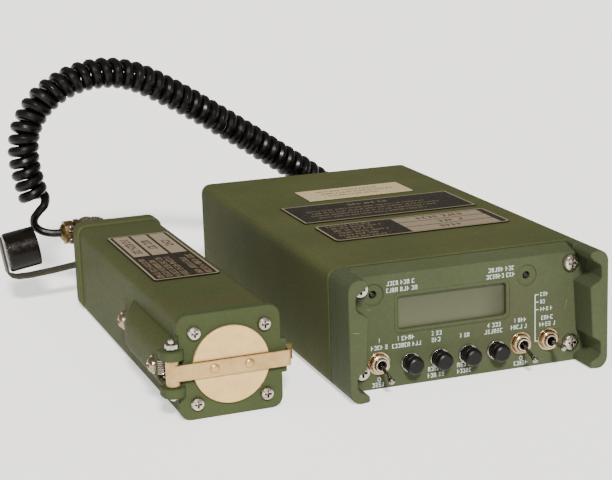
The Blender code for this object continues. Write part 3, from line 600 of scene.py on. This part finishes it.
def make_cord():
    """One continuous cord: out of the meter's plug, wound into the coil, and on into the probe's plug."""
    count = TURNS * PER_TURN
    line = evenly(smooth_curve(COIL_ROUTE, ROUTE_STEPS), count)
    normal = Vector((0, 0, 1))
    path = []
    for k, point in enumerate(line):
        tangent = (line[min(k + 1, count)] - line[max(k - 1, 0)]).normalized()
        normal = (normal - tangent * normal.dot(tangent)).normalized()
        side = tangent.cross(normal)
        turn = k / PER_TURN
        # A right-hand winding that spirals out of the plug's axis and ends on its right side
        u = min(1.0, turn / LEAD)
        wound = LEAD * (u**3 - u**4 / 2) + max(0.0, turn - LEAD)
        angle = 2 * pi * (wound - TURNS + LEAD / 2) + pi
        radius = (COIL_R + UNEVEN * noise.noise(Vector((turn * 0.7, 3.1, 0)))) * u * u * (3 - 2 * u)
        path.append(point + (normal * cos(angle) + side * sin(angle)) * radius)
    end = smooth_curve([*path[-1 - 3 * JOIN_STEP :: JOIN_STEP], *TAIL_ROUTE], JOIN_SPAN)
    path = path[: -1 - JOIN_STEP] + end[2 * JOIN_SPAN :]
    thin_from = len(path) - len(end) + TAPER_AFTER
    thick = []
    for k in range(len(path)):
        r = WIRE_R + (TAIL_R - WIRE_R) * min(1.0, max(0.0, (k - thin_from) / TAPER_POINTS))
        thick.append(TAIL_R + (r - TAIL_R) * min(1.0, k / PLUG_POINTS))
    bm = bmesh.new()
    tube(bm, path, thick, CORD_SIDES)
    cord = piece("curly_cord", bm, "cord", None)
    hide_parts("coil_cord", "probe_cord_tail")
    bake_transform(cord)


make_camera()
make_cord()
dress_cad_nodes()


# ---------------------------------------------------------------- print, plates and small hardware
PRINT_T = 0.03

# Signs made of two or three plain strokes. One or two come near the shape of a letter, but they are
# drawn at random and spell nothing
SIGNS = (
    ("left", "high", "low"),
    ("right", "high", "low"),
    ("left", "right", "high"),
    ("high", "middle", "low"),
    ("left", "middle"),
    ("right", "low"),
)


SIGN_WIDTHS = (0.46, 0.62)
SIGN_GAP = 0.22
GROUP_GAP = 0.4
GROUP_SIGNS = (3, 7)


def sign_row(bm, left, right, base, height, rng, where, weight=0.2):
    """Stand-ins for a line of print: strokes that spell nothing, grouped like words."""
    pen = weight * height
    x = left
    while True:
        for _ in range(rng.randint(*GROUP_SIGNS)):
            width = height * rng.uniform(*SIGN_WIDTHS)
            if x + width > right:
                return
            strokes = rng.choice(SIGNS)
            start = x + pen if "left" in strokes else x
            end = x + width - pen if "right" in strokes else x + width
            bars = {
                "left": rect(x, base, x + pen, base + height),
                "right": rect(x + width - pen, base, x + width, base + height),
                "low": rect(start, base, end, base + pen),
                "middle": rect(start, base + (height - pen) / 2, end, base + (height + pen) / 2),
                "high": rect(start, base + height - pen, end, base + height),
            }
            for stroke in strokes:
                slab(bm, bars[stroke], 0, PRINT_T, where)
            x += width + SIGN_GAP * height
        x += GROUP_GAP * height


NUMERAL_H = 2.1
FONT_CAP = 0.72  # a numeral's height as a share of the font's size
NARROWED = 0.80
INK_SPREAD = 0.02


def numeral(bm, text, x, z):
    """A numeral or an on/off mark in raised ink, centred on a place of the panel."""
    curve = bpy.data.curves.new("numeral", "FONT")
    curve.body = text
    curve.size = NUMERAL_H / FONT_CAP
    curve.align_x = "CENTER"
    curve.align_y = "CENTER"
    curve.resolution_u = 2
    curve.extrude = PRINT_T / 2
    curve.offset = INK_SPREAD
    obj = bpy.data.objects.new("numeral", curve)
    mesh = bpy.data.meshes.new_from_object(obj)
    mesh.transform(at(x, FACE_Y - PRINT_T / 2, z, FRONT) @ Matrix.Diagonal((NARROWED, 1, 1, 1)))
    bm.from_mesh(mesh)
    bpy.data.objects.remove(obj)
    bpy.data.curves.remove(curve)
    bpy.data.meshes.remove(mesh)


# Generic marks: the buttons are numbered and the two-way switches carry I and O
NUMERALS = (
    ("1", -33.4, 21.8), ("2", -16.9, 22.0), ("3", -3.3, 19.2), ("4", 10.4, 22.0),
    ("I", -42.4, 22.0), ("O", -42.9, 4.2), ("I", 23.6, 22.6), ("O", 26.6, 4.5),
)
# Lines of sign rows: left, right, base
PANEL_LINES = (
    (-38.4, -24.2, 46.4), (10.6, 24.0, 46.5), (-31.8, -25.2, 20.8), (-15.2, -12.0, 21.0), (-1.6, 2.2, 18.2),
    (12.2, 16.8, 21.0), (25.2, 29.4, 21.6), (36.9, 44.0, 21.2),
    (-38.6, -23.0, 43.3), (9.6, 24.4, 43.5), (-46.4, -38.4, 17.9), (-46.2, -39.6, 0.9), (-36.4, -22.6, 17.6),
    (-17.4, -12.2, 18.0), (8.4, 18.0, 18.1), (21.6, 30.6, 18.5), (23.0, 30.0, 1.3), (36.0, 44.4, 18.1),
    (-19.4, -10.6, 4.6), (-19.6, -10.6, 1.6), (-5.2, 2.0, 4.6), (-5.2, 2.0, 1.6),
)
LINE_H = 2.0
# The bracket beside the three-way switch: its upright, and for each tick its height and its text's end
BRACKET_X = 33.8
BRACKET_LOW, BRACKET_HIGH = 11.3, 33.62
BRACKET_HALF = 0.25
BRACKET_TICKS = ((33.4, 42.0), (29.9, 39.6), (26.4, 43.4))
TICK_HALF = 0.22
TICK_END = 1.7
TICK_TEXT = 2.6
TICK_TEXT_H = 1.8
FOOT_END = 1.3


def panel_print():
    bm = bmesh.new()
    for text, x, z in NUMERALS:
        numeral(bm, text, x, z)
    piece("panel_numerals", bm, "ink", "meter", smooth=0)
    bm = bmesh.new()
    rng = random.Random(4)
    face = at(0, FACE_Y, 0, FRONT)
    for left, right, base in PANEL_LINES:
        sign_row(bm, left, right, base, LINE_H, rng, face)
    bars = []
    inner = BRACKET_X + BRACKET_HALF
    for z, right in BRACKET_TICKS:
        sign_row(bm, BRACKET_X + TICK_TEXT, right, z - TICK_TEXT_H / 2, TICK_TEXT_H, rng, face)
        bars.append(rect(inner, z - TICK_HALF, BRACKET_X + TICK_END, z + TICK_HALF))
    bars.append(rect(BRACKET_X - BRACKET_HALF, BRACKET_LOW, inner, BRACKET_HIGH))
    bars.append(rect(inner, BRACKET_LOW, BRACKET_X + FOOT_END, BRACKET_LOW + 2 * TICK_HALF))
    for bar in bars:
        slab(bm, bar, 0, PRINT_T, face)
    piece("panel_marks", bm, "ink", "meter", smooth=0)


WINDOW_LIP = 0.9  # the window reaches this far past its opening, whose corners have the same radius
# How far each ring of the border stands outside the opening, and its height
BORDER_PROFILE = ((2.0, -0.05), (1.95, 0.02), (1.3, 0.13), (0.3, 0.13), (0.1, 0.05), (0.1, -0.05))


def panel_trim():
    """The low raised border round the display opening."""
    low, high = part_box("lcd_window")
    left, bottom = [1000 * low[k] + WINDOW_LIP for k in (0, 2)]
    right, top = [1000 * high[k] - WINDOW_LIP for k in (0, 2)]
    bm = bmesh.new()
    outlines = [
        (rounded(left - g, bottom - g, right + g, top + g, WINDOW_LIP + g), z) for g, z in BORDER_PROFILE
    ]
    hoop(bm, outlines, at(0, FACE_Y, 0, FRONT))
    piece("display_border", bm, "panel", "meter")


EAR_FRONT_Y = 1000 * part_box("front_panel")[0][1]
# Scratches down to the primer: ends in x and z, and the face they are on
SCARS = (
    ((-61.2, 32.4), (-56.6, 31.7), EAR_FRONT_Y),
    ((49.9, 29.6), (49.5, 27.2), FACE_Y),
    ((49.5, 27.2), (48.4, 24.6), FACE_Y),
    ((38.2, 17.2), (46.6, 16.9), FACE_Y),
    ((-48.6, 36.9), (-45.2, 36.6), FACE_Y),
)
SCAR_W = 0.16
SCAR_WIDEST = 0.4  # where a scratch is widest, as a share of its length


def paint_scars():
    """Thin pale scratches, each a sliver that narrows to its ends."""
    bm = bmesh.new()
    for start, end, y in SCARS:
        a, b = Vector(start), Vector(end)
        side = (b - a).orthogonal().normalized() * SCAR_W / 2
        middle = a.lerp(b, SCAR_WIDEST)
        outline = [tuple(p) for p in (a, middle - side, b, middle + side)]
        slab(bm, outline, 0, PRINT_T, at(0, y, 0, FRONT))
    piece("paint_scars", bm, "scar", "meter", smooth=0)


TOGGLES_X = (-42.7, 26.5, 40.4)
TOGGLE_Z = 11.7
# Profiles as (radius, height over the panel's face)
DRESS_RING = ((3.0, 2.12), (4.25, 2.12), (4.3, 2.4), (4.05, 2.62), (3.35, 2.70), (3.0, 2.55))
WASHER = ((3.5, 0.02), (5.15, 0.02), (5.25, 0.14), (5.15, 0.27), (3.5, 0.27))
LEVER_SEAL = ((1.5, 1.5), (2.0, 1.5), (2.16, 2.9), (1.95, 3.25), (1.62, 2.9))


def toggle_trim():
    """Round dress rings round each bushing, and the dark seal its lever comes out of."""
    rings = bmesh.new()
    seals = bmesh.new()
    washers = bmesh.new()
    for x in TOGGLES_X:
        where = at(x, FACE_Y, TOGGLE_Z, FRONT)
        lathe(rings, DRESS_RING, 32, where)
        lathe(washers, WASHER, 36, where)
        lathe(seals, LEVER_SEAL, 24, where)
    piece("toggle_dress_rings", rings, "gold", "meter")
    piece("toggle_washers", washers, "gold", "meter")
    piece("toggle_seals", seals, "mouth", "meter")


# The bead's profile: how far it stands out from the cap, and its height over the panel's face
BEAD = ((-0.15, 3.2), (0.16, 3.3), (0.24, 3.7), (0.24, 5.2), (-0.15, 5.5))


def button_trim():
    """The raised bead round each button cap."""
    for name in ("test_button", "rate_button", "dose_button", "store_button"):
        low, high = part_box(name)
        x, z = 500 * (low[0] + high[0]), 500 * (low[2] + high[2])
        radius = 500 * (high[0] - low[0])
        bm = bmesh.new()
        lathe(bm, [(radius + out, height) for out, height in BEAD], 36, at(x, FACE_Y, z, FRONT))
        piece(f"{name}_bead", bm, "black", name)


EDGE_INSET = 0.3


def plate_edges(bm, box, radius, width, z):
    """A bare metal border of a plate, a little inside its edges."""
    left, bottom, right, top = box
    g = EDGE_INSET
    outer = rounded(left + g, bottom + g, right - g, top - g, radius)
    g = EDGE_INSET + width
    inner = rounded(left + g, bottom + g, right - g, top - g, max(0.2, radius - width * 0.6))
    hoop(bm, ((outer, 0), (outer, PRINT_T), (inner, PRINT_T), (inner, 0)), at(0, 0, z))


def node_box(name):
    """A node's outline from above, in millimetres: left, front, right, rear."""
    low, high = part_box(name)
    return [1000 * low[0], 1000 * low[1], 1000 * high[0], 1000 * high[1]]


# Marks stamped in the front plate's fields and rows of blank print: how far from the left, how long
FIELD_MARKS = ((16, 11), (19, 13), (12, 25))
FRONT_ROWS = (24, 27, 22, 26, 20, 23)
MIDDLE_ROWS = (66, 70, 68, 58)
REAR_ROWS = (36, 41, 30)


def top_prints():
    """Borders, blank fields and blank print on the three plates on top of the meter."""
    rear, middle, front = [node_box(n) for n in ("top_label_rear", "top_plate_middle", "top_plate_front")]
    z = 1000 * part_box("top_plate_front")[1][2]
    rng = random.Random(11)
    foil = bmesh.new()
    plate_edges(foil, middle, 0.3, 0.85, z)
    plate_edges(foil, front, 2.6, 0.95, z)
    top = at(0, 0, z)
    fields_left, fields_right = front[0] + 39.5, front[2] - 4.8
    pitch = (front[3] - front[1] - 3.2) / len(FIELD_MARKS)
    raised = at(0, 0, z + PRINT_T)
    marks = bmesh.new()
    for k, (start, length) in enumerate(FIELD_MARKS):
        base = front[1] + 1.7 + k * pitch
        slab(foil, rect(fields_left, base, fields_right, base + pitch - 0.9), 0, PRINT_T, top)
        start += fields_left
        sign_row(marks, start, start + length, base + 2.6, 3.9, rng, raised)
    piece("top_plate_fields", foil, "foil", "meter", smooth=0)
    lines = bmesh.new()
    for k, length in enumerate(FRONT_ROWS):
        left = front[0] + 5.2 + 1.0 * (k % 2)
        sign_row(lines, left, left + length, front[3] - 5.4 - 4.75 * k, 2.4, rng, top, 0.16)
    sign_row(lines, -9.5, 14, middle[3] - 9.6, 3.4, rng, top, 0.15)
    for k, length in enumerate(MIDDLE_ROWS):
        left = middle[0] + 8 + 2 * (k % 2)
        sign_row(lines, left, left + length, middle[3] - 16.2 - 5.0 * k, 1.9, rng, top, 0.15)
    piece("top_plate_print", lines, "foil_text", "meter", smooth=0)
    for k, length in enumerate(REAR_ROWS):
        left = rear[0] + 9 + 2 * k
        sign_row(marks, left, left + length, rear[3] - 7.2 - 5.6 * k, 2.0, rng, top)
    piece("stamped_print", marks, "stamped", "meter", smooth=0)


PROBE_PLATE = (-14.9, 62.0, 16.7, 154.0)  # left, front, right, rear
FIELD_PITCH = 9.25
FIELD_WIDTH = 7.9
FIELD_INSET = 2.6
FIELD_FRONT = 108.5
# Rows that run along the probe: distance from its middle line, length
PROBE_ROWS = ((-12.0, 38), (-8.0, 36), (-4.0, 39), (0.0, 37), (6.6, 34), (10.8, 38))
PROBE_MARKS = ((114, 32), (120, 22), (124, 14))


def probe_prints():
    """The probe's data plate: border, three blank fields and rows of blank print, read from the side."""
    z = 1000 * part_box("probe_data_plate")[1][2]
    foil = bmesh.new()
    plate_edges(foil, PROBE_PLATE, 1.6, 0.95, z)
    flat = at(0, 0, z)
    left, low, _, high = PROBE_PLATE
    for k in range(len(PROBE_MARKS)):
        x = left + FIELD_INSET + FIELD_PITCH * k
        slab(foil, rect(x, FIELD_FRONT, x + FIELD_WIDTH, high - 2.4), 0, PRINT_T, flat)
    piece("probe_plate_fields", foil, "probe_foil", "probe", PROBE, 0)
    rng = random.Random(23)
    lines = bmesh.new()
    turned = at(0, 0, z) @ Matrix.Rotation(pi / 2, 4, "Z")
    for x, length in PROBE_ROWS:
        sign_row(lines, low + 3.2, low + 3.2 + length, -x - 3.0, 2.9, rng, turned)
    piece("probe_plate_print", lines, "foil_text", "probe", PROBE, 0)
    marks = bmesh.new()
    turned = at(0, 0, z + PRINT_T) @ Matrix.Rotation(pi / 2, 4, "Z")
    for k, (start, length) in enumerate(PROBE_MARKS):
        x = left + FIELD_INSET + FIELD_PITCH * k
        sign_row(marks, start, start + length, -x - 6.0, 4.0, rng, turned)
    piece("probe_stamped_print", marks, "stamped", "probe", PROBE, 0)


HEAD_SIDES = 32
HEAD_RINGS = (0.0, 0.09, 0.17, 0.25, 0.33, 0.41, 0.49, 0.55, 0.62, 0.74, 0.86, 0.95, 1.0)
HEAD_FOOT = -0.3
# The cross, as shares of the head's radius and height
CROSS_HALF = 0.13
CROSS_REACH = 0.52
CROSS_DEPTH = 0.55


def cross_head(bm, where, radius, height):
    """A pan head with a real cross recess sunk into its dome."""
    spokes = [2 * pi * k / HEAD_SIDES for k in range(HEAD_SIDES)]
    rings = []
    for share in HEAD_RINGS:
        ring = []
        for a in spokes if share else spokes[:1]:
            x, y = share * cos(a), share * sin(a)
            h = 1 - 0.55 * share**2 - 0.25 * share**8
            if min(abs(x), abs(y)) < CROSS_HALF and max(abs(x), abs(y)) < CROSS_REACH:
                h -= CROSS_DEPTH * (1 - share)
            ring.append(bm.verts.new(where @ Vector((radius * x, radius * y, height * h))))
        rings.append(ring)
    foot = [bm.verts.new(where @ Vector((radius * cos(a), radius * sin(a), HEAD_FOOT))) for a in spokes]
    rings.append(foot)
    for low, high in zip(rings, rings[1:]):
        for k in range(HEAD_SIDES):
            n = (k + 1) % HEAD_SIDES
            corners = [low[k % len(low)], high[k], high[n], low[n % len(low)]]
            bm.faces.new(list(dict.fromkeys(corners)))
    bm.faces.new(foot)


RIVETS_X = (-7.8, 7.6)
STRAP_FACE_Y = -3.0
STRAP_Z = 22.5
# Profiles as (radius, height over the face that the piece sits on)
RIVET = ((0, 0.85), (0.8, 0.80), (1.5, 0.60), (2.0, 0.22), (2.1, -0.05), (0, -0.05))
SCREW_PAD = ((0, -2.6), (4.9, -2.6), (4.7, -0.2), (4.4, 0.0), (0, 0.0))
SCREW_WASHER = ((0, 0.02), (4.0, 0.02), (4.1, 0.2), (4.0, 0.5), (0, 0.5))
WASHER_TOP = 0.5
SIDE_SCREWS = ((-29.75, 14.2), (-25.05, 84.0))
SIDE_SCREW_Z = 22.4
SPRING_TURNS = 7
SPRING_STEPS = 14
SPRING_WIRE_R = 0.36
SPRING_R = 1.85
SPRING_AT = (-27.5, 7.6, 19.6)
SPRING_H = 6.4


def probe_hardware():
    """Rivets on the strap, screws on the side fairing, and the coil spring behind the hinge."""
    bm = bmesh.new()
    for x in RIVETS_X:
        lathe(bm, RIVET, 28, at(x, STRAP_FACE_Y, STRAP_Z, FRONT))
    piece("shield_rivets", bm, "strap_metal", "shield", PROBE)

    bm = bmesh.new()
    washers = bmesh.new()
    pads = bmesh.new()
    for x, y in SIDE_SCREWS:
        where = at(x, y, SIDE_SCREW_Z, LEFT)
        lathe(pads, SCREW_PAD, 32, where)
        lathe(washers, SCREW_WASHER, 32, where)
        cross_head(bm, where @ at(0, 0, WASHER_TOP), 3.3, 2.3)
    piece("side_screws", bm, "dull_steel", "probe", PROBE)
    piece("side_washers", washers, "dull_steel", "probe", PROBE)
    piece("side_screw_pads", pads, "probe", "probe", PROBE)

    bm = bmesh.new()
    x, y, low = SPRING_AT
    count = SPRING_TURNS * SPRING_STEPS
    path = [Vector((-27.5, 3.2, 19.5)), Vector((-27.9, 5.0, 19.5))]
    for k in range(count + 1):
        a = 2 * pi * k / SPRING_STEPS - pi / 2
        path.append(Vector((x + SPRING_R * cos(a), y + SPRING_R * sin(a), low + SPRING_H * k / count)))
    path.append(path[-1] + Vector((3.0, -0.6, 0.1)))
    tube(bm, path, SPRING_WIRE_R, 8)
    spring = piece("hinge_coil_spring", bm, "steel", "probe", PROBE)
    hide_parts("hinge_spring")


REAR_Y = 102.0
PROBE_REAR = 197.8
FLANGE_HOLE = 7.7
RING_R = 10.05
PLUG_TURN = radians(37)  # the meter's elbow plug, about its own axis
OUTLET_HEIGHT = 24.0
# Profiles along the outlet, as (radius, distance from the plug's axis), and of the clamp's screws
OUTLET_RING = ((5.3, 5.0), (6.5, 5.2), (6.7, 5.6), (6.7, 7.4), (6.4, 7.8), (5.3, 7.8))
OUTLET_END = ((2.7, 13.2), (5.0, 13.2), (4.4, 14.4), (3.0, 15.4), (2.6, 15.4))
CLAMP_SCREW = ((0, 2.3), (1.2, 2.2), (1.7, 1.7), (1.75, 0.0), (0, 0.0))
LID_SCREW = ((0, 1.6), (1.1, 1.5), (1.6, 1.0), (1.65, -0.6), (0, -0.6))
CLAMP_SCREWS_Y = (-3.4, 3.4)
KNURL_COUNT = 36
KNURL_TOOTH = ((-0.12, -0.42), (0.3, -0.16), (0.3, 0.16), (-0.12, 0.42))


def knurl(bm, where, low, high):
    """Ridges round a connector's ring."""
    outline = [(RING_R + out, y) for out, y in KNURL_TOOTH]
    for k in range(KNURL_COUNT):
        slab(bm, outline, low, high, where @ Matrix.Rotation(2 * pi * k / KNURL_COUNT, 4, "Z"))


def connector_details():
    """Knurled rings, flange screws and cable clamps on both bronze connectors."""
    meter_axis = at(36.0, REAR_Y, 29.0, REAR)
    tilt = meter_axis @ Matrix.Rotation(PLUG_TURN, 4, "Z")
    probe_axis = at(-9.5, PROBE_REAR, 35.5, REAR)
    bm = bmesh.new()
    knurl(bm, probe_axis, 3.4, 10.4)
    piece("coupling_knurl", bm, "bronze", "coupling_ring", PROBE)
    bm = bmesh.new()
    knurl(bm, tilt, 3.2, 10.4)
    piece("meter_plug_knurl", bm, "bronze", "meter", METER)
    for body, base, axis in (("meter", METER, meter_axis), ("probe", PROBE, probe_axis)):
        bm = bmesh.new()
        for x in (-FLANGE_HOLE, FLANGE_HOLE):
            for y in (-FLANGE_HOLE, FLANGE_HOLE):
                cross_head(bm, axis @ at(x, y, 2.1), 1.55, 1.1)
        piece(f"{body}_flange_screws", bm, "steel", body, base)
    for body, base, axis in (("meter", METER, tilt), ("probe", PROBE, probe_axis)):
        bm = bmesh.new()
        outlet = axis @ at(0, 0, OUTLET_HEIGHT, (0, 90, 0))
        lathe(bm, OUTLET_RING, 28, outlet)
        lathe(bm, OUTLET_END, 24, outlet)
        piece(f"{body}_plug_clamp", bm, "bronze", body, base)
        bm = bmesh.new()
        for y in CLAMP_SCREWS_Y:
            lathe(bm, CLAMP_SCREW, 20, outlet @ at(6.4, y, 10.9, (0, 90, 0)))
            lathe(bm, LID_SCREW, 20, axis @ at(0, y, 30.4))
        piece(f"{body}_plug_screws", bm, "steel", body, base)


def rear_cover_details():
    """The rear cover's four corner screws."""
    bm = bmesh.new()
    for x in (-56.0, 56.0):
        for z in (6.4, 48.6):
            cross_head(bm, at(x, REAR_Y, z, REAR), 2.9, 1.9)
    piece("rear_cover_screws", bm, "steel", "meter")


panel_print()
panel_trim()
paint_scars()
toggle_trim()
button_trim()
top_prints()
probe_prints()
probe_hardware()
connector_details()
rear_cover_details()


# ---------------------------------------------------------------- floor and light
FLOOR_HALF = 6.0
FLOOR_Z = -0.0001
AMBIENT = 0.44
FLOOR_GLOW = 0.85
SUN_FROM = Vector((-0.17, -0.80, 0.58))
SUN_STRENGTH = 6.6
SUN_ANGLE = radians(9)


def stage():
    """A plain pale floor that glows a little, and even light from all round."""
    bm = bmesh.new()
    corners = rect(-FLOOR_HALF, -FLOOR_HALF, FLOOR_HALF, FLOOR_HALF)
    bm.faces.new([bm.verts.new((x, y, FLOOR_Z)) for x, y in corners])
    mesh = bpy.data.meshes.new("floor")
    bm.to_mesh(mesh)
    bm.free()
    s = Shade("pale_floor")
    s.set(color=s.mix(s.noise(0.4, 3), (0.90, 0.90, 0.89), (0.93, 0.93, 0.92)), rough=0.85)
    s.bsdf.inputs["Emission Color"].default_value = (1.0, 0.99, 0.97, 1)
    s.bsdf.inputs["Emission Strength"].default_value = FLOOR_GLOW
    mesh.materials.append(s.mat)
    floor = bpy.data.objects.new("floor", mesh)
    bpy.context.scene.collection.objects.link(floor)

    world = bpy.data.worlds.new("studio")
    bpy.context.scene.world = world
    world.use_nodes = True
    background = world.node_tree.nodes["Background"]
    background.inputs["Color"].default_value = (1.0, 0.985, 0.96, 1)
    background.inputs["Strength"].default_value = AMBIENT


def sun_light():
    data = bpy.data.lights.new("key", "SUN")
    data.energy = SUN_STRENGTH
    data.angle = SUN_ANGLE
    data.color = (1.0, 0.97, 0.92)
    light = bpy.data.objects.new("key", data)
    light.rotation_euler = SUN_FROM.to_track_quat("Z", "Y").to_euler()
    bpy.context.scene.collection.objects.link(light)


stage()
sun_light()
